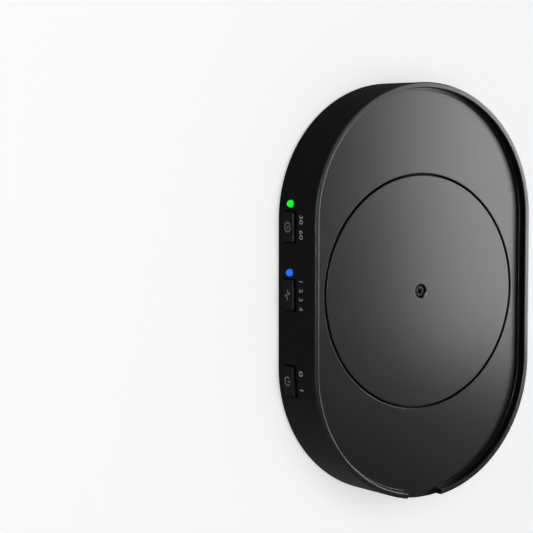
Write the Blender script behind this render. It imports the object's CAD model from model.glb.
import math

import bmesh
import bpy
from mathutils import Matrix, Vector


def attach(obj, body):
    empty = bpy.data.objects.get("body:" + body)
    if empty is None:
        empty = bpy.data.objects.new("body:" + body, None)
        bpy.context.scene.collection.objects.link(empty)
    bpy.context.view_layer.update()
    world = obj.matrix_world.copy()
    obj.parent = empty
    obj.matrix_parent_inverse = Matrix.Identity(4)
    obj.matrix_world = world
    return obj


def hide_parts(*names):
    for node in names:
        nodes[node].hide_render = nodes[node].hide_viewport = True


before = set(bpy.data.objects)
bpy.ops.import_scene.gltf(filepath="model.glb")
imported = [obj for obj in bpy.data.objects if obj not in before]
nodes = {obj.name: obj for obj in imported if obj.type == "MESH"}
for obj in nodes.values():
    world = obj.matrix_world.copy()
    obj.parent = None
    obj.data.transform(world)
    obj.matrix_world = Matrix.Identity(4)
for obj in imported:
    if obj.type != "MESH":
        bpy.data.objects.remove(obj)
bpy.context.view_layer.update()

MM = 0.001
R_OUT, HALF_Y = 50.0 * MM, 27.0 * MM                       # the housing's outline: round ends and straight sides
Z_LOW, Z_DECK, Z_RIM = 1.3 * MM, 21.8 * MM, 25.0 * MM      # levels of the housing's lower edge, deck and rim
GAP = 15.6 * MM                                            # width of the gap in the rim
PROUD = 0.9                                                # button faces outside the wall, mm
scene = bpy.context.scene
scene.view_settings.view_transform = "Standard"
scene.view_settings.look = "None"

# ------------------------------------------------------------------ camera
# The lens sees the housing from its upper left, so the object's length runs up the picture.
YAW, PITCH, ROLL = 0.5848922864, 0.0690532420, -0.0007589885
SHIFT = Vector((1.1768691791, -0.1862394211, -13.5634307008)) * 0.05
FOCAL_PX = 1840.2083


def camera():
    turn = Matrix.Rotation(ROLL, 3, "Z") @ Matrix.Rotation(PITCH, 3, "X") @ Matrix.Rotation(YAW, 3, "Y")
    back = turn.transposed()
    data = bpy.data.cameras.new("camera")
    data.sensor_fit = "AUTO"
    data.sensor_width = 36.0
    data.lens = FOCAL_PX / 533.0 * 36.0
    data.clip_start, data.clip_end = 0.01, 20.0
    cam = bpy.data.objects.new("camera", data)
    cam.matrix_world = Matrix.Translation(-(back @ SHIFT) + Vector((0, 0, 25.0 * MM))) @ back.to_4x4()
    scene.collection.objects.link(cam)
    scene.camera = cam


camera()


# ------------------------------------------------------------------ node helpers
class Mat:
    """A material with one Principled surface, and short calls for the nodes that feed it. Lengths are in metres."""

    def __init__(self, name):
        self.m = bpy.data.materials.new(name)
        self.m.use_nodes = True
        self.nt = self.m.node_tree
        self.nt.nodes.clear()
        out = self.nt.nodes.new("ShaderNodeOutputMaterial")
        self.b = self.nt.nodes.new("ShaderNodeBsdfPrincipled")
        self.nt.links.new(self.b.outputs[0], out.inputs[0])
        self.place = self.nt.nodes.new("ShaderNodeTexCoord").outputs["Object"]

    def put(self, socket, value):
        if isinstance(value, bpy.types.NodeSocket):
            self.nt.links.new(value, socket)
        else:
            socket.default_value = value

    def set(self, **values):
        for key, v in values.items():
            name = {"color": "Base Color", "rough": "Roughness", "metal": "Metallic", "spec": "Specular IOR Level", "coat": "Coat Weight",
                    "coat_rough": "Coat Roughness", "ior": "IOR", "normal": "Normal", "glow": "Emission Color", "glow_strength": "Emission Strength",
                    "sss": "Subsurface Weight", "aniso": "Anisotropic"}[key]
            if key in ("color", "glow") and not isinstance(v, bpy.types.NodeSocket):
                v = (v[0], v[1], v[2], 1.0)
            self.put(self.b.inputs[name], v)
        return self

    def maths(self, op, a, b=0.0, c=None, clamp=False):
        n = self.nt.nodes.new("ShaderNodeMath")
        n.operation, n.use_clamp = op, clamp
        self.put(n.inputs[0], a)
        self.put(n.inputs[1], b)
        if c is not None:
            self.put(n.inputs[2], c)
        return n.outputs[0]

    def noise(self, size, detail=2.0, rough=0.5, at=None, lacunarity=2.0):
        n = self.nt.nodes.new("ShaderNodeTexNoise")
        self.put(n.inputs["Vector"], at if at is not None else self.place)
        self.put(n.inputs["Scale"], 1.0 / size)
        self.put(n.inputs["Detail"], detail)
        self.put(n.inputs["Roughness"], rough)
        self.put(n.inputs["Lacunarity"], lacunarity)
        return n.outputs[0]

    def cells(self, size, feature="F1", at=None, random=1.0, out=0):
        n = self.nt.nodes.new("ShaderNodeTexVoronoi")
        n.feature = feature
        self.put(n.inputs["Vector"], at if at is not None else self.place)
        self.put(n.inputs["Scale"], 1.0 / size)
        self.put(n.inputs["Randomness"], random)
        return n.outputs[out]

    def stretched(self, x, y, z, turn=0.0):
        n = self.nt.nodes.new("ShaderNodeMapping")
        self.put(n.inputs["Vector"], self.place)
        n.inputs["Scale"].default_value = (x, y, z)
        n.inputs["Rotation"].default_value = (0, 0, turn)
        return n.outputs[0]

    def moved(self, x, y, z):
        n = self.nt.nodes.new("ShaderNodeVectorMath")
        n.operation = "SUBTRACT"
        self.put(n.inputs[0], self.place)
        n.inputs[1].default_value = (x, y, z)
        return n.outputs[0]

    def length(self, vector):
        n = self.nt.nodes.new("ShaderNodeVectorMath")
        n.operation = "LENGTH"
        self.put(n.inputs[0], vector)
        return n.outputs["Value"]

    def xyz(self, vector=None):
        n = self.nt.nodes.new("ShaderNodeSeparateXYZ")
        self.put(n.inputs[0], vector if vector is not None else self.place)
        return n.outputs

    def ramp(self, value, a, b, to_a=0.0, to_b=1.0, smooth=True):
        n = self.nt.nodes.new("ShaderNodeMapRange")
        n.interpolation_type = "SMOOTHSTEP" if smooth else "LINEAR"
        n.clamp = True
        self.put(n.inputs["Value"], value)
        for name, v in (("From Min", a), ("From Max", b), ("To Min", to_a), ("To Max", to_b)):
            self.put(n.inputs[name], v)
        return n.outputs[0]

    def blend(self, share, a, b, how="MIX"):
        n = self.nt.nodes.new("ShaderNodeMix")
        n.data_type = "RGBA"
        n.blend_type = how
        self.put(n.inputs[0], share)
        for socket, v in ((n.inputs[6], a), (n.inputs[7], b)):
            self.put(socket, v if isinstance(v, bpy.types.NodeSocket) else (v[0], v[1], v[2], 1.0))
        return n.outputs[2]

    def near(self, value, target, width):
        """1 where value is at target, down to 0 at width from it."""
        return self.ramp(self.maths("ABSOLUTE", self.maths("SUBTRACT", value, target)), 0.0, width, 1.0, 0.0)

    def both(self, a, b):
        return self.maths("MULTIPLY", a, b)

    def either(self, a, b):
        return self.maths("MAXIMUM", a, b)

    def wave(self, value, pitch):
        """Even waves from 0 to 1 along value."""
        return self.maths("MULTIPLY_ADD", self.maths("SINE", self.maths("MULTIPLY", value, 2 * math.pi / pitch)), 0.5, 0.5)

    def around(self, x=0.0, y=0.0):
        """Distance from the upright line through (x, y)."""
        p = self.xyz()
        a = self.maths("SUBTRACT", p[0], x)
        b = self.maths("SUBTRACT", p[1], y)
        return self.maths("SQRT", self.maths("ADD", self.maths("MULTIPLY", a, a), self.maths("MULTIPLY", b, b)))

    def outside(self):
        """How far a point lies outside the housing's outline, and its height."""
        x, y, z = self.xyz()
        over = self.maths("MAXIMUM", self.maths("SUBTRACT", self.maths("ABSOLUTE", y), HALF_Y), 0.0)
        far = self.maths("SQRT", self.maths("ADD", self.maths("MULTIPLY", x, x), self.maths("MULTIPLY", over, over)))
        return self.maths("SUBTRACT", far, R_OUT), z

    def bump(self, height, distance, strength=1.0, under=None):
        n = self.nt.nodes.new("ShaderNodeBump")
        self.put(n.inputs["Height"], height)
        n.inputs["Distance"].default_value = distance
        self.put(n.inputs["Strength"], strength)
        if under is not None:
            self.nt.links.new(under, n.inputs["Normal"])
        return n.outputs[0]


# ------------------------------------------------------------------ true normals on thin roundings
def rounding(m, normal, where, u, side, z0, r, up=1.0):
    """The CAD mesh is coarse along its thin roundings, so there the normal comes from the height z above z0 on a round of
    radius r. u is the sideways direction it leans to, times side."""
    z = m.xyz()[2]
    c = m.maths("DIVIDE", m.maths("MULTIPLY", m.maths("SUBTRACT", z, z0), up), r, clamp=True)
    s = m.maths("MULTIPLY", m.maths("SQRT", m.maths("MAXIMUM", m.maths("SUBTRACT", 1.0, m.maths("MULTIPLY", c, c)), 0.0)), side)
    lean = m.nt.nodes.new("ShaderNodeCombineXYZ")
    m.put(lean.inputs[0], m.maths("MULTIPLY", u[0], s))
    m.put(lean.inputs[1], m.maths("MULTIPLY", u[1], s))
    m.put(lean.inputs[2], m.maths("MULTIPLY", c, up))
    world = m.nt.nodes.new("ShaderNodeVectorTransform")
    world.vector_type, world.convert_from, world.convert_to = "NORMAL", "OBJECT", "WORLD"
    m.put(world.inputs[0], lean.outputs[0])
    pick = m.nt.nodes.new("ShaderNodeMix")
    pick.data_type = "VECTOR"
    m.put(pick.inputs[0], where)
    m.put(pick.inputs[4], normal)
    m.put(pick.inputs[5], world.outputs[0])
    return pick.outputs[1]


def above(m, a, b):
    return m.maths("GREATER_THAN", a, b)


def below(m, a, b):
    return m.maths("LESS_THAN", a, b)


def from_axis(m):
    x, y, z = m.xyz()
    far = m.around()
    return (m.maths("DIVIDE", x, far), m.maths("DIVIDE", y, far)), far


def shell_normal(m):
    x, y, z = m.xyz()
    over = m.both(m.maths("SIGN", y), m.maths("MAXIMUM", m.maths("SUBTRACT", m.maths("ABSOLUTE", y), HALF_Y), 0.0))
    size = m.maths("SQRT", m.maths("ADD", m.both(x, x), m.both(over, over)))
    u = (m.maths("DIVIDE", x, size), m.maths("DIVIDE", over, size))
    far = m.maths("SUBTRACT", size, R_OUT)
    rim = m.maths("SUBTRACT", 1.0, m.both(below(m, m.maths("ABSOLUTE", x), GAP / 2 + 0.17 * MM), below(m, y, 0.0)))
    n = m.nt.nodes.new("ShaderNodeNewGeometry").outputs["Normal"]
    n = rounding(m, n, m.both(above(m, z, 24.6 * MM), rim), u, m.maths("SIGN", m.maths("ADD", far, 1.0 * MM)), 24.6 * MM, 0.4 * MM)
    n = rounding(m, n, m.both(m.both(above(m, z, 22.22 * MM), below(m, z, 22.405 * MM)), m.both(below(m, far, -1.99 * MM), rim)), u, -1.0, 22.22 * MM, 0.18 * MM)
    n = rounding(m, n, m.both(below(m, z, 2.2 * MM), above(m, far, -0.905 * MM)), u, 1.0, 2.2 * MM, 0.9 * MM, -1.0)
    u, far = from_axis(m)
    return rounding(m, n, m.both(m.both(above(m, z, 21.58 * MM), below(m, z, 21.81 * MM)), below(m, m.maths("ABSOLUTE", m.maths("SUBTRACT", far, 43.7 * MM)), 0.45 * MM)), u, -1.0, 21.58 * MM, 0.22 * MM)


def disc_normal(m):
    z = m.xyz()[2]
    u, far = from_axis(m)
    n = m.nt.nodes.new("ShaderNodeNewGeometry").outputs["Normal"]
    n = rounding(m, n, m.both(above(m, z, 21.58 * MM), above(m, far, 42.3 * MM)), u, 1.0, 21.58 * MM, 0.22 * MM)
    return rounding(m, n, m.both(above(m, z, 21.6 * MM), below(m, far, 3.2 * MM)), u, -1.0, 21.6 * MM, 0.2 * MM)


# ------------------------------------------------------------------ looks
def use(material, *names):
    for n in names:
        data = nodes[n].data
        data.materials.clear()
        data.materials.append(material)


def black_plastic(name, base=0.004, rough=0.245, grain=1.0, wear=None, hidden=None, exact=None, scuff=None):
    """Black moulded plastic with a fine spark-eroded texture. wear(m) is a mask of the edges that hands polish, where the
    grain is gone, hidden(m) one of the raw surfaces down in a gap, where the tool was left rough, exact(m) the surface's normal,
    scuff(m) a mask of what a slipped tool has whitened."""
    m = Mat(name)
    fine = m.noise(0.62 * MM, 1.0, 0.50)
    broad = m.noise(26 * MM, 2.0, 0.5)
    tone = m.blend(m.ramp(fine, 0.3, 0.7), (base * 0.75,) * 3, (base * 1.28, base * 1.28, base * 1.31))
    r = m.maths("ADD", rough - 0.025, m.maths("MULTIPLY", broad, 0.022))
    r = m.maths("ADD", r, m.maths("MULTIPLY", fine, 0.030))
    strength = 1.0
    if wear:
        mask = wear(m)
        patchy = m.both(mask, m.ramp(m.noise(9 * MM, 2.0, 0.5), 0.35, 0.65, 0.6, 1.0))
        tone = m.blend(m.both(patchy, 0.6), tone, (base * 1.9, base * 1.9, base * 1.95))
        r = m.maths("SUBTRACT", r, m.maths("MULTIPLY", patchy, 0.02))
        strength = m.maths("SUBTRACT", 1.0, m.maths("MULTIPLY", mask, 0.94), clamp=True)
    if hidden:
        deep = hidden(m)
        tone = m.blend(deep, tone, (0.0022, 0.0022, 0.0022))
        r = m.maths("MAXIMUM", r, m.maths("MULTIPLY", deep, 0.82))
    if scuff:
        tone = m.blend(scuff(m), tone, (0.30, 0.30, 0.30))
    pits = m.cells(0.34 * MM, "SMOOTH_F1")
    n1 = m.bump(fine, 0.012 * MM * grain, strength, under=exact(m) if exact else None)
    n2 = m.bump(pits, 0.003 * MM * grain, strength, under=n1)
    m.set(color=tone, rough=r, spec=0.5, normal=n2)
    return m.m


def shell_wear(m):
    far, z = m.outside()
    rim = m.both(m.near(z, Z_RIM, 0.6 * MM), m.either(m.near(far, 0.0, 0.6 * MM), m.near(far, -2.0 * MM, 0.55 * MM)))
    foot = m.both(m.near(z, Z_LOW + 0.3 * MM, 0.9 * MM), m.near(far, 0.0, 1.0 * MM))
    ledge = m.both(m.near(z, 22.4 * MM, 0.3 * MM), m.near(far, -2.9 * MM, 0.3 * MM))
    groove = m.both(m.near(z, Z_DECK, 0.3 * MM), m.near(m.around(), 43.7 * MM, 0.3 * MM))
    return m.either(m.either(rim, foot), m.either(ledge, groove))


def shell_hidden(m):
    """The pan under the turntable, seen down the groove round it and through the button windows."""
    x, y, z = m.xyz()
    pan = m.both(m.ramp(z, Z_DECK - 0.55 * MM, Z_DECK - 0.25 * MM, 1.0, 0.0), m.ramp(m.around(), 43.62 * MM, 44.0 * MM, 1.0, 0.0))
    far, z = m.outside()
    inside = m.both(m.ramp(far, -0.75 * MM, -0.35 * MM, 1.0, 0.0), m.ramp(z, Z_DECK - 3.0 * MM, Z_DECK - 2.4 * MM, 1.0, 0.0))
    return m.either(pan, inside)


def disc_wear(m):
    z = m.xyz()[2]
    far = m.around()
    return m.both(m.near(z, Z_DECK, 0.35 * MM), m.either(m.near(far, 42.8 * MM, 0.4 * MM), m.near(far, 2.75 * MM, 0.3 * MM)))


def disc_hidden(m):
    return m.ramp(m.xyz()[2], Z_DECK - 0.6 * MM, Z_DECK - 0.3 * MM, 1.0, 0.0)


def disc_scuff(m):
    """Where the driver has slipped out of the screw and over the edge of its hole."""
    spot = m.maths("MULTIPLY_ADD", m.noise(0.4 * MM, 2.0, 0.6), 0.35 * MM, m.length(m.moved(2.42 * MM, -1.42 * MM, 21.7 * MM)))
    return m.both(m.near(m.around(), 2.80 * MM, 0.55 * MM), m.ramp(spot, 0.95 * MM, 1.35 * MM, 1.0, 0.0))


def key_wear(m):
    """The buttons' corners and upper and lower edges."""
    far, z = m.outside()
    return m.both(m.near(far, PROUD * MM, 0.3 * MM), m.either(m.near(z, 12.2 * MM, 0.45 * MM), m.near(z, 5.8 * MM, 0.45 * MM)))


def key_hidden(m):
    far, z = m.outside()
    return m.ramp(far, -0.55 * MM, 0.0, 1.0, 0.0)


use(black_plastic("shell_plastic", wear=shell_wear, hidden=shell_hidden, exact=shell_normal), "top_shell")
use(black_plastic("disc_plastic", base=0.0041, grain=1.6, wear=disc_wear, hidden=disc_hidden, exact=disc_normal, scuff=disc_scuff), "turntable_disc")
use(black_plastic("key_plastic", base=0.0055, rough=0.30, grain=0.8, wear=key_wear, hidden=key_hidden), "timer_button", "activity_button", "power_button")


def cover_plastic():
    m = Mat("cover_plastic")
    sand = m.noise(0.7 * MM, 4.0, 0.7)
    flow = m.noise(35 * MM, 3.0, 0.55, at=m.stretched(1.0, 0.35, 1.0))
    x, y, z = m.xyz()
    # the shallow field in the middle is bare and smoother than the sanded surface round it
    field = m.both(m.both(m.ramp(m.maths("ABSOLUTE", x), 21.6 * MM, 22.0 * MM, 1.0, 0.0), m.ramp(m.maths("ABSOLUTE", y), 14.6 * MM, 15.0 * MM, 1.0, 0.0)), m.ramp(z, 1.36 * MM, 1.46 * MM))
    tone = m.blend(flow, (0.011, 0.011, 0.0112), (0.017, 0.017, 0.0172))
    tone = m.blend(m.both(m.ramp(sand, 0.55, 0.75), 0.5), tone, (0.028, 0.028, 0.0285))
    r = m.maths("SUBTRACT", m.maths("MULTIPLY_ADD", sand, 0.10, 0.46), m.both(field, 0.16))
    height = m.both(sand, m.maths("SUBTRACT", 1.0, m.both(field, 0.8)))
    m.set(color=tone, rough=r, spec=0.45, normal=m.bump(height, 0.05 * MM, 0.7))
    return m.m


use(cover_plastic(), "base_cover")


def rubber():
    m = Mat("foot_rubber")
    specks = m.noise(0.35 * MM, 3.0, 0.7)
    dust = m.ramp(m.noise(6 * MM, 4.0, 0.65), 0.45, 0.7)
    z = m.xyz()[2]
    tread = m.ramp(z, 0.0, 0.5 * MM, 1.0, 0.0)
    tone = m.blend(m.both(dust, 0.5), (0.022, 0.022, 0.022), (0.045, 0.044, 0.042))
    tone = m.blend(m.both(tread, 0.35), tone, (0.06, 0.058, 0.055))
    m.set(color=tone, rough=m.maths("MULTIPLY_ADD", specks, 0.12, 0.74), spec=0.3, normal=m.bump(specks, 0.06 * MM, 0.7))
    return m.m


use(rubber(), "rubber_feet")


def metal(name, color, rough, size=0.6, stretch=(1.0, 1.0, 1.0), relief=0.01, stain=None, share=0.5):
    """Metal with fine tool marks. stretch draws them out across an axis, stain is a second tone in soft patches."""
    m = Mat(name)
    marks = m.noise(size * MM, 3.0, 0.6, at=m.stretched(*stretch))
    patches = m.ramp(m.noise(4.5 * MM, 3.0, 0.6), 0.38, 0.66)
    second = stain or tuple(c * 0.72 for c in color)
    tone = m.blend(m.both(patches, share), color, second)
    tone = m.blend(m.both(m.ramp(marks, 0.35, 0.7), 0.35), tone, tuple(min(1.0, c * 1.25) for c in color))
    m.set(color=tone, metal=1.0, rough=m.maths("ADD", rough, m.maths("MULTIPLY_ADD", marks, 0.14, m.maths("MULTIPLY", patches, 0.06))), normal=m.bump(marks, relief * MM, 0.6))
    return m.m


use(metal("screw_black_oxide", (0.050, 0.050, 0.052), 0.36, 0.35, relief=0.012, stain=(0.026, 0.026, 0.028)), "cover_screws")


def centre_screw():
    """Black oxide on steel, with soot in the recess and round the head."""
    m = Mat("screw_centre")
    z = m.xyz()[2]
    far = m.around()
    marks = m.noise(0.35 * MM, 3.0, 0.6)
    patches = m.ramp(m.noise(1.3 * MM, 3.0, 0.6), 0.38, 0.66)
    tone = m.blend(patches, (0.027, 0.027, 0.028), (0.018, 0.018, 0.019))
    soot = m.either(m.ramp(far, 1.75 * MM, 2.00 * MM), m.ramp(z, 20.75 * MM, 20.95 * MM, 1.0, 0.0))
    tone = m.blend(soot, tone, (0.004, 0.004, 0.004))
    m.set(color=tone, metal=1.0, rough=m.maths("MULTIPLY_ADD", marks, 0.14, 0.40), normal=m.bump(marks, 0.012 * MM, 0.6))
    return m.m


use(centre_screw(), "turntable_screw")
use(metal("screw_zinc", (0.62, 0.61, 0.58), 0.26, 0.3, stain=(0.50, 0.49, 0.44)), "plate_screws", "motor_screws", "board_screws", "usb_board_screws")
use(metal("turned_steel", (0.60, 0.60, 0.61), 0.16, 0.25, (1.0, 1.0, 9.0), 0.006), "spindle", "idler_axle", "rotor_shaft", "spindle_clip")
use(metal("sintered_bronze", (0.52, 0.33, 0.15), 0.40, 0.22, relief=0.02, stain=(0.30, 0.18, 0.08)), "upper_bushing", "lower_bushing", "motor_bushings")
use(metal("pinion_brass", (0.72, 0.50, 0.18), 0.24, 0.3, (1.0, 1.0, 5.0), 0.008), "motor_pinion")
use(metal("lead_tin", (0.68, 0.67, 0.64), 0.22, 0.3, stain=(0.50, 0.49, 0.46)), "led_leads", "chip_pins")
use(metal("socket_steel", (0.58, 0.58, 0.59), 0.20, 0.35, (1.0, 6.0, 1.0), 0.006, stain=(0.44, 0.44, 0.45)), "usb_socket")


def galvanised(name, color, rough, cell):
    m = Mat(name)
    flakes = m.cells(cell * MM, "F1", out=1)
    grey = m.xyz(flakes)[0]
    lines = m.noise(0.4 * MM, 3.0, 0.6, at=m.stretched(7.0, 1.0, 1.0, 0.6))
    tone = m.blend(grey, tuple(c * 0.78 for c in color), color)
    m.set(color=tone, metal=1.0, rough=m.maths("MULTIPLY_ADD", grey, 0.12, m.maths("MULTIPLY_ADD", lines, 0.08, rough)), normal=m.bump(lines, 0.006 * MM, 0.5))
    return m.m


use(galvanised("plate_steel", (0.60, 0.61, 0.61), 0.26, 2.6), "bearing_plate", "motor_flange")
use(galvanised("case_zinc", (0.55, 0.56, 0.57), 0.24, 1.6), "motor_case")


def layers(name, dark, light, pitch, rough, metallic, relief):
    """Stacked sheets or wound wire: even ridges up the part, none quite like the next."""
    m = Mat(name)
    z = m.xyz()[2]
    uneven = m.noise(1.4 * MM, 3.0, 0.6)
    ridges = m.wave(m.maths("MULTIPLY_ADD", uneven, pitch * 0.35 * MM, z), pitch * MM)
    tone = m.blend(m.both(ridges, m.maths("MULTIPLY_ADD", uneven, 0.6, 0.4)), dark, light)
    m.set(color=tone, metal=metallic, rough=m.maths("MULTIPLY_ADD", uneven, 0.12, rough), normal=m.bump(ridges, relief * MM, 0.8))
    return m.m


use(layers("stator_laminations", (0.16, 0.16, 0.17), (0.42, 0.42, 0.43), 0.5, 0.34, 1.0, 0.04), "motor_stator")
use(layers("coil_wire", (0.30, 0.09, 0.03), (0.86, 0.38, 0.16), 0.2, 0.25, 1.0, 0.06), "motor_coils")


def ferrite():
    m = Mat("ferrite")
    grit = m.noise(0.2 * MM, 4.0, 0.75)
    chips = m.ramp(m.cells(1.1 * MM), 0.05, 0.16, 1.0, 0.0)
    tone = m.blend(grit, (0.022, 0.022, 0.025), (0.06, 0.06, 0.065))
    tone = m.blend(m.both(chips, 0.5), tone, (0.10, 0.10, 0.105))
    m.set(color=tone, rough=m.maths("MULTIPLY_ADD", grit, 0.16, 0.52), spec=0.5, normal=m.bump(grit, 0.03 * MM, 0.6))
    return m.m


use(ferrite(), "rotor_magnet")


def moulded(name, color, rough, size=0.8, spec=0.45, deep=0.75, relief=0.015, sss=0.0):
    """A light-coloured engineering plastic: faint flow marks, and a little soil in its corners."""
    m = Mat(name)
    fine = m.noise(size * MM, 3.0, 0.6)
    flow = m.noise(9 * MM, 2.0, 0.5, at=m.stretched(1.0, 1.0, 0.3))
    tone = m.blend(flow, tuple(c * deep for c in color), color)
    tone = m.blend(m.both(m.ramp(fine, 0.62, 0.8), 0.5), tone, tuple(c * 0.62 for c in color))
    m.set(color=tone, rough=m.maths("MULTIPLY_ADD", fine, 0.12, rough), spec=spec, sss=sss, normal=m.bump(fine, relief * MM, 0.5))
    return m.m


use(moulded("gear_acetal", (0.80, 0.79, 0.74), 0.34, sss=0.05), "final_gear", "idler_gear")
use(moulded("washer_ptfe", (0.86, 0.86, 0.84), 0.42, 0.4), "thrust_washer")
use(moulded("connector_nylon", (0.78, 0.74, 0.62), 0.42), "motor_plug", "motor_header", "supply_plug", "supply_header", "motor_terminal")
use(moulded("plunger_nylon", (0.74, 0.72, 0.66), 0.38, 0.4), "timer_plunger", "activity_plunger", "power_plunger")


def circuit_board():
    """Green board: copper tracks under the lacquer, bare laminate on the cut edges."""
    m = Mat("circuit_board")
    x, y, z = m.xyz()
    wander = m.noise(11 * MM, 0.0, 0.5)
    step = m.maths("SNAP", m.maths("MULTIPLY", wander, 14 * MM), 1.0 * MM)
    along = m.ramp(m.wave(m.maths("ADD", x, step), 1.1 * MM), 0.55, 0.75)
    across = m.ramp(m.wave(m.maths("ADD", y, step), 1.4 * MM), 0.62, 0.80)
    where = m.ramp(m.noise(7 * MM, 0.0, 0.5), 0.48, 0.50)
    tracks = m.maths("ADD", m.both(along, where), m.both(across, m.maths("SUBTRACT", 1.0, where)))
    weave = m.both(m.wave(x, 0.5 * MM), m.wave(y, 0.5 * MM))
    tone = m.blend(m.both(tracks, 0.8), (0.006, 0.055, 0.018), (0.018, 0.135, 0.045))
    tone = m.blend(m.both(weave, 0.12), tone, (0.05, 0.16, 0.06))
    mid = m.near(z, 5.9 * MM, 0.72 * MM)
    tone = m.blend(m.ramp(mid, 0.02, 0.1), tone, (0.32, 0.30, 0.14))
    m.set(color=tone, rough=m.maths("MULTIPLY_ADD", weave, 0.08, 0.26), spec=0.5, normal=m.bump(m.maths("MULTIPLY_ADD", weave, 0.15, tracks), 0.03 * MM, 0.6))
    return m.m


board_mat = circuit_board()
use(board_mat, "main_board", "usb_board")


def chip_epoxy():
    m = Mat("chip_epoxy")
    grit = m.noise(0.18 * MM, 3.0, 0.7)
    # a dimple marks the first pin
    dot = m.ramp(m.around(-35.6 * MM, -3.4 * MM), 0.30 * MM, 0.40 * MM, 1.0, 0.0)
    tone = m.blend(grit, (0.012, 0.012, 0.013), (0.026, 0.026, 0.028))
    m.set(color=m.blend(dot, tone, (0.05, 0.05, 0.05)), rough=m.maths("SUBTRACT", m.maths("MULTIPLY_ADD", grit, 0.12, 0.48), m.both(dot, 0.25)), spec=0.45, normal=m.bump(m.maths("SUBTRACT", grit, dot), 0.02 * MM, 0.6))
    return m.m


use(chip_epoxy(), "control_chip", "driver_chip")


def resistor():
    m = Mat("chip_resistor")
    grit = m.noise(0.25 * MM, 3.0, 0.7)
    z = m.xyz()[2]
    top = m.ramp(z, 7.12 * MM, 7.2 * MM)
    tone = m.blend(top, (0.62, 0.60, 0.55), (0.015, 0.015, 0.017))
    m.set(color=m.blend(m.both(grit, 0.3), tone, (0.10, 0.10, 0.10)), rough=m.maths("MULTIPLY_ADD", grit, 0.2, 0.3), spec=0.5, normal=m.bump(grit, 0.02 * MM, 0.5))
    return m.m


use(resistor(), "chip_resistors")


def capacitor():
    """Shrunk sleeve with a pale band down one side, and a bare aluminium top."""
    m = Mat("capacitor_can")
    x, y, z = m.xyz()
    top = m.ramp(z, 12.86 * MM, 12.92 * MM)
    band = m.either(m.ramp(x, -36.9 * MM, -36.8 * MM, 1.0, 0.0), m.both(m.ramp(x, -30.4 * MM, -30.3 * MM, 1.0, 0.0), m.ramp(x, -31.2 * MM, -31.1 * MM)))
    fine = m.noise(0.5 * MM, 3.0, 0.6)
    tone = m.blend(band, (0.012, 0.013, 0.02), (0.45, 0.46, 0.48))
    tone = m.blend(top, tone, (0.66, 0.66, 0.67))
    tone = m.blend(m.both(fine, 0.15), tone, (0.20, 0.20, 0.21))
    m.set(color=tone, metal=top, rough=m.maths("MULTIPLY_ADD", fine, 0.16, 0.24), spec=0.5, normal=m.bump(fine, 0.015 * MM, 0.5))
    return m.m


use(capacitor(), "capacitors")


def switch_body():
    """Black body under a pressed steel cover."""
    m = Mat("switch_body")
    z = m.xyz()[2]
    fine = m.noise(0.35 * MM, 3.0, 0.6)
    plate = m.ramp(z, 11.05 * MM, 11.12 * MM)
    tone = m.blend(plate, (0.016, 0.016, 0.017), (0.58, 0.58, 0.57))
    tone = m.blend(m.both(fine, 0.2), tone, (0.12, 0.12, 0.12))
    m.set(color=tone, metal=plate, rough=m.maths("MULTIPLY_ADD", fine, 0.18, 0.30), spec=0.45, normal=m.bump(fine, 0.015 * MM, 0.5))
    return m.m


use(switch_body(), "timer_switch", "activity_switch", "power_switch")


def socket_tongue():
    """Black tongue with two rows of gold contacts."""
    m = Mat("socket_tongue")
    x, y, z = m.xyz()
    pads = m.ramp(m.wave(m.maths("ADD", x, 0.125 * MM), 0.5 * MM), 0.45, 0.6)
    reach = m.both(m.ramp(m.maths("ABSOLUTE", x), 2.85 * MM, 2.9 * MM, 1.0, 0.0), m.both(m.ramp(y, -74.6 * MM, -74.5 * MM), m.ramp(y, -71.2 * MM, -71.1 * MM, 1.0, 0.0)))
    gold = m.both(pads, reach)
    fine = m.noise(0.25 * MM, 3.0, 0.6)
    tone = m.blend(gold, m.blend(fine, (0.012, 0.012, 0.013), (0.024, 0.024, 0.025)), (0.86, 0.58, 0.22))
    m.set(color=tone, metal=gold, rough=m.maths("MULTIPLY_ADD", fine, 0.14, 0.26), spec=0.5, normal=m.bump(m.maths("MULTIPLY_ADD", fine, 0.3, gold), 0.02 * MM, 0.5))
    return m.m


use(socket_tongue(), "usb_tongue")


def ribbon():
    """Grey ribbon: one ridge for each wire, and a red edge."""
    m = Mat("ribbon_cable")
    y = m.xyz()[1]
    ridges = m.wave(m.maths("SUBTRACT", y, 23.8 * MM), 0.95 * MM)
    fine = m.noise(0.6 * MM, 3.0, 0.6)
    tone = m.blend(ridges, (0.20, 0.20, 0.21), (0.38, 0.38, 0.39))
    tone = m.blend(m.ramp(y, 25.05 * MM, 25.15 * MM), tone, (0.45, 0.03, 0.02))
    m.set(color=tone, rough=m.maths("MULTIPLY_ADD", fine, 0.14, 0.40), spec=0.4, normal=m.bump(ridges, 0.12 * MM, 0.7))
    return m.m


use(ribbon(), "motor_lead")
use(moulded("wire_sleeve", (0.42, 0.022, 0.016), 0.36, 1.2), "supply_wires")


# ------------------------------------------------------------------ lamps
def place(s, z, out):
    """Point on the housing's left side: s along the outline from Y = 0, height z, out from the wall, all in mm."""
    if abs(s) <= 27.0:
        return Vector((-50.0 - out, s, z)) * MM
    yc = math.copysign(27.0, s)
    a = (s - yc) / 50.0
    return Vector((-(50.0 + out) * math.cos(a), yc + (50.0 + out) * math.sin(a), z)) * MM


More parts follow.
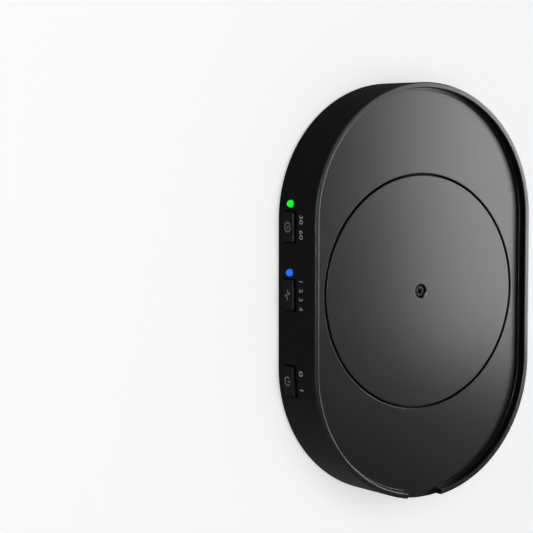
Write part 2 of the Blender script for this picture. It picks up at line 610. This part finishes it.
def lamp_material(name, glow, rim, tint, at):
    """Lit lens: brightest round its chip, a little deeper towards the rim, with fine streaks in the resin."""
    m = Mat(name)
    spread = m.length(m.moved(*at))
    streaks = m.noise(0.6 * MM, 2.0, 0.5)
    edge = m.ramp(m.maths("MULTIPLY_ADD", streaks, 0.25 * MM, spread), 0.9 * MM, 1.75 * MM)
    m.set(color=tint, glow=m.blend(edge, glow, rim), glow_strength=0.92, rough=m.maths("MULTIPLY_ADD", streaks, 0.08, 0.22), spec=0.25)
    return m.m


def lamp(name, s, glow, rim, tint):
    """Round lens turned on a lathe: dome, barrel and flange, where the CAD lamp is."""
    r, z, barrel = 1.33, 9.70, 0.46
    profile = [(barrel + r * math.sin(math.radians(a)), r * math.cos(math.radians(a))) for a in (90, 84, 77, 70, 62, 54, 46, 38, 30, 22, 15, 8, 0)]
    profile += [(-3.5, r), (-3.5, 1.9), (-4.4, 1.9), (-4.4, 0.0)]
    mid = place(s, z, 0.0)
    outward = (place(s, z, 1.0) - mid).normalized()
    side = Vector((0, 0, 1)).cross(outward).normalized()
    up = Vector((0, 0, 1))
    bm = bmesh.new()
    n = 64
    rings = []
    for out, rad in profile:
        c = mid + outward * (out * MM)
        if rad < 1e-6:
            rings.append([bm.verts.new(c)])
        else:
            rings.append([bm.verts.new(c + (side * math.cos(2 * math.pi * k / n) + up * math.sin(2 * math.pi * k / n)) * (rad * MM)) for k in range(n)])
    for a, b in zip(rings, rings[1:]):
        for k in range(n):
            j = (k + 1) % n
            if len(a) == 1:
                bm.faces.new((a[0], b[k], b[j]))
            elif len(b) == 1:
                bm.faces.new((a[k], b[0], a[j]))
            else:
                bm.faces.new((a[k], b[k], b[j], a[j]))
    bmesh.ops.recalc_face_normals(bm, faces=bm.faces)
    data = bpy.data.meshes.new(name + "_lens")
    bm.to_mesh(data)
    bm.free()
    for p in data.polygons:
        p.use_smooth = True
    data.set_sharp_from_angle(angle=math.radians(40))
    ob = bpy.data.objects.new(name + "_lens", data)
    scene.collection.objects.link(ob)
    data.materials.append(lamp_material(name + "_glow", glow, rim, tint, place(s, z, 0.6)))
    ob.visible_diffuse = ob.visible_glossy = False    # the lamp is lit, but its light doesn't wash over the black wall
    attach(ob, "housing")
    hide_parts(name)
    return ob


lamp("timer_led", 32.9, (0.0, 1.0, 0.020), (0.0, 0.80, 0.010), (0.0, 0.25, 0.01))
lamp("activity_led", 8.1, (0.010, 0.170, 1.0), (0.004, 0.115, 0.95), (0.0, 0.06, 0.35))


# ------------------------------------------------------------------ prints
def ink(name, light):
    m = Mat(name)
    fine = m.noise(0.25 * MM, 3.0, 0.6)
    wear = m.ramp(m.noise(1.6 * MM, 3.0, 0.6), 0.55, 0.75)
    tone = m.blend(m.both(wear, 0.45), (light, light, light * 0.98), (light * 0.5, light * 0.5, light * 0.49))
    m.set(color=tone, rough=m.maths("MULTIPLY_ADD", fine, 0.15, 0.50), spec=0.3, normal=m.bump(fine, 0.01 * MM, 0.4))
    return m.m


wall_ink, key_ink = ink("wall_print", 0.30), ink("key_print", 0.16)    # fingers have dulled the marks on the buttons


def printed(name, flat, s, z, out, body):
    """Lays a flat figure (u towards -Y, v up, in mm) on the left side as a closed film of ink."""
    made = bmesh.ops.extrude_face_region(flat, geom=list(flat.faces))
    top = {v for v in made["geom"] if isinstance(v, bmesh.types.BMVert)}
    for v in flat.verts:
        v.co = place(s - v.co.x, z + v.co.y, out + (0.028 if v in top else -0.015))
    bmesh.ops.recalc_face_normals(flat, faces=flat.faces)
    data = bpy.data.meshes.new(name)
    flat.to_mesh(data)
    flat.free()
    data.materials.append(wall_ink if body == "housing" else key_ink)
    ob = bpy.data.objects.new(name, data)
    scene.collection.objects.link(ob)
    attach(ob, body)
    return ob


def strip(bm, line, width, closed=False):
    """A stroke of even width along a line, with mitred corners."""
    pts = [Vector((p[0], p[1])) for p in line]
    n = len(pts)
    left, right = [], []
    for i in range(n):
        a = pts[(i - 1) % n] if closed or i > 0 else None
        b = pts[(i + 1) % n] if closed or i < n - 1 else None
        d0 = (pts[i] - a).normalized() if a is not None else None
        d1 = (b - pts[i]).normalized() if b is not None else None
        d = (d0 + d1).normalized() if d0 is not None and d1 is not None else (d0 if d0 is not None else d1)
        side = Vector((-d.y, d.x))
        k = 1.0 / max(0.35, side.dot(Vector((-d1.y, d1.x)))) if d0 is not None and d1 is not None else 1.0
        left.append(bm.verts.new((*(pts[i] + side * (width / 2 * k)), 0)))
        right.append(bm.verts.new((*(pts[i] - side * (width / 2 * k)), 0)))
    for i in range(n if closed else n - 1):
        j = (i + 1) % n
        bm.faces.new((right[i], right[j], left[j], left[i]))


def arc(r, a0, a1, n, cx=0.0, cy=0.0):
    return [(cx + r * math.cos(math.radians(a0 + (a1 - a0) * k / n)), cy + r * math.sin(math.radians(a0 + (a1 - a0) * k / n))) for k in range(n + 1)]


W = 0.40
clock = bmesh.new()
strip(clock, arc(1.68, 0, 360, 56)[:-1], W, closed=True)
strip(clock, [(0.0, 1.02), (0.0, 0.0), (0.78, -0.46)], W * 0.9)
printed("clock_mark", clock, 24.5, 8.95, PROUD, "timer_key")

pulse = bmesh.new()
strip(pulse, [(-1.95, 0.0), (-1.05, 0.0), (-0.50, 1.35), (0.42, -1.45), (0.95, 0.0), (1.95, 0.0)], W)
printed("pulse_mark", pulse, 0.05, 8.95, PROUD, "activity_key")

power = bmesh.new()
strip(power, arc(1.55, 127, 413, 48), W)
strip(power, [(0.0, 0.25), (0.0, 1.05), (0.0, 1.95)], W)
printed("power_mark", power, -31.25, 8.75, PROUD, "power_key")


def figures(name, text, s, z, height, width, body="housing"):
    """Plain numbers beside a button, in the font that is built in."""
    curve = bpy.data.curves.new(name + "_curve", "FONT")
    curve.body = text
    curve.resolution_u = 4
    tmp = bpy.data.objects.new(name + "_text", curve)
    scene.collection.objects.link(tmp)
    bpy.context.view_layer.update()
    data = bpy.data.meshes.new_from_object(tmp.evaluated_get(bpy.context.evaluated_depsgraph_get()))
    bm = bmesh.new()
    bm.from_mesh(data)
    bpy.data.objects.remove(tmp)
    bpy.data.curves.remove(curve)
    bpy.data.meshes.remove(data)
    bmesh.ops.remove_doubles(bm, verts=bm.verts, dist=1e-5)
    xs, ys = [v.co.x for v in bm.verts], [v.co.y for v in bm.verts]
    for v in bm.verts:
        v.co = Vector(((v.co.x - (min(xs) + max(xs)) / 2) * width / (max(xs) - min(xs)), (v.co.y - (min(ys) + max(ys)) / 2) * height / (max(ys) - min(ys)), 0))
    if sum(f.normal.z for f in bm.faces) < 0:
        bmesh.ops.reverse_faces(bm, faces=bm.faces)
    return printed(name, bm, s, z, 0.0, body)


figures("timer_numbers", "30  60", 24.6, 16.2, 2.1, 8.6)
figures("activity_numbers", "1  2  3  4", 0.05, 16.2, 2.1, 10.6)
figures("power_numbers", "0   1", -30.6, 16.2, 2.1, 7.2)

# ------------------------------------------------------------------ floor
bpy.ops.mesh.primitive_plane_add(size=6.0, location=(0, 0, 0))
floor = bpy.context.object
floor.name = "floor"
floor_mat = Mat("floor_paper")
away = floor_mat.ramp(floor_mat.around(), 0.16, 0.75)    # the paper runs out evenly into the backdrop
floor_mat.set(color=floor_mat.blend(away, (0.82, 0.82, 0.82), (0.0, 0.0, 0.0)), rough=0.9, spec=0.0, glow=floor_mat.blend(away, (0.47, 0.47, 0.47), (0.96, 0.96, 0.96)), glow_strength=1.0)
floor.data.materials.append(floor_mat.m)
floor.visible_glossy = False    # the gloss of the housing's side shows the dim studio, not the lit paper


# ------------------------------------------------------------------ light
def softbox(name, at, target, size, power, size_y=None, diffuse=True, glossy=True):
    data = bpy.data.lights.new(name, "AREA")
    data.shape = "RECTANGLE"
    data.size, data.size_y = size, size_y or size
    data.energy = power
    box = bpy.data.objects.new(name, data)
    box.location = at
    box.rotation_mode = "QUATERNION"
    box.rotation_quaternion = (Vector(target) - Vector(at)).to_track_quat("-Z", "Y")
    box.visible_camera = False
    box.visible_diffuse, box.visible_glossy = diffuse, glossy
    scene.collection.objects.link(box)
    return box


def studio_world():
    """A dim room for the gloss to show, pale round its walls and a little paler towards the front, behind a pale backdrop."""
    world = bpy.data.worlds.new("studio")
    world.use_nodes = True
    nt = world.node_tree
    nt.nodes.clear()
    out = nt.nodes.new("ShaderNodeOutputWorld")
    room, paper = nt.nodes.new("ShaderNodeBackground"), nt.nodes.new("ShaderNodeBackground")
    mix, path = nt.nodes.new("ShaderNodeMixShader"), nt.nodes.new("ShaderNodeLightPath")
    at, split = nt.nodes.new("ShaderNodeTexCoord"), nt.nodes.new("ShaderNodeSeparateXYZ")
    nt.links.new(at.outputs["Generated"], split.inputs[0])

    def ramp(socket, a, b, to_a, to_b):
        n = nt.nodes.new("ShaderNodeMapRange")
        n.interpolation_type = "SMOOTHSTEP"
        nt.links.new(socket, n.inputs["Value"])
        for k, v in (("From Min", a), ("From Max", b), ("To Min", to_a), ("To Max", to_b)):
            n.inputs[k].default_value = v
        return n.outputs[0]

    def add(a, b):
        n = nt.nodes.new("ShaderNodeMath")
        nt.links.new(a, n.inputs[0])
        nt.links.new(b, n.inputs[1])
        return n.outputs[0]

    floor_to_wall = ramp(split.outputs["Z"], -0.76, -0.36, 0.045, 0.42)
    wall_to_ceiling = ramp(split.outputs["Z"], 0.05, 0.50, 0.0, -0.30)
    front = ramp(split.outputs["Y"], -0.75, 0.25, 0.070, 0.0)
    nt.links.new(add(add(floor_to_wall, wall_to_ceiling), front), room.inputs["Strength"])
    paper.inputs["Color"].default_value = (0.96, 0.96, 0.96, 1)
    paper.inputs["Strength"].default_value = 1.0
    nt.links.new(path.outputs["Is Camera Ray"], mix.inputs[0])
    nt.links.new(room.outputs[0], mix.inputs[1])
    nt.links.new(paper.outputs[0], mix.inputs[2])
    nt.links.new(mix.outputs[0], out.inputs[0])
    scene.world = world


studio_world()
# a strip on the right and a small box nearer by give the deck its sheen; a wide one overhead lights the paper
softbox("strip", (0.5307, 0.0870, 0.3750), (0, 0, 0), 0.396, 4.25, 0.191, diffuse=False)
softbox("key", (0.1845, 0.0232, 0.2198), (0, 0, 0), 0.158, 0.115, 0.055, diffuse=False)
softbox("top", (-0.05, 0.02, 0.90), (0, 0, 0), 0.20, 2.4, diffuse=False)
softbox("overhead", (-0.38, 0.15, 1.20), (0.0, 0.0, 0.0), 1.1, 9.0, glossy=False)
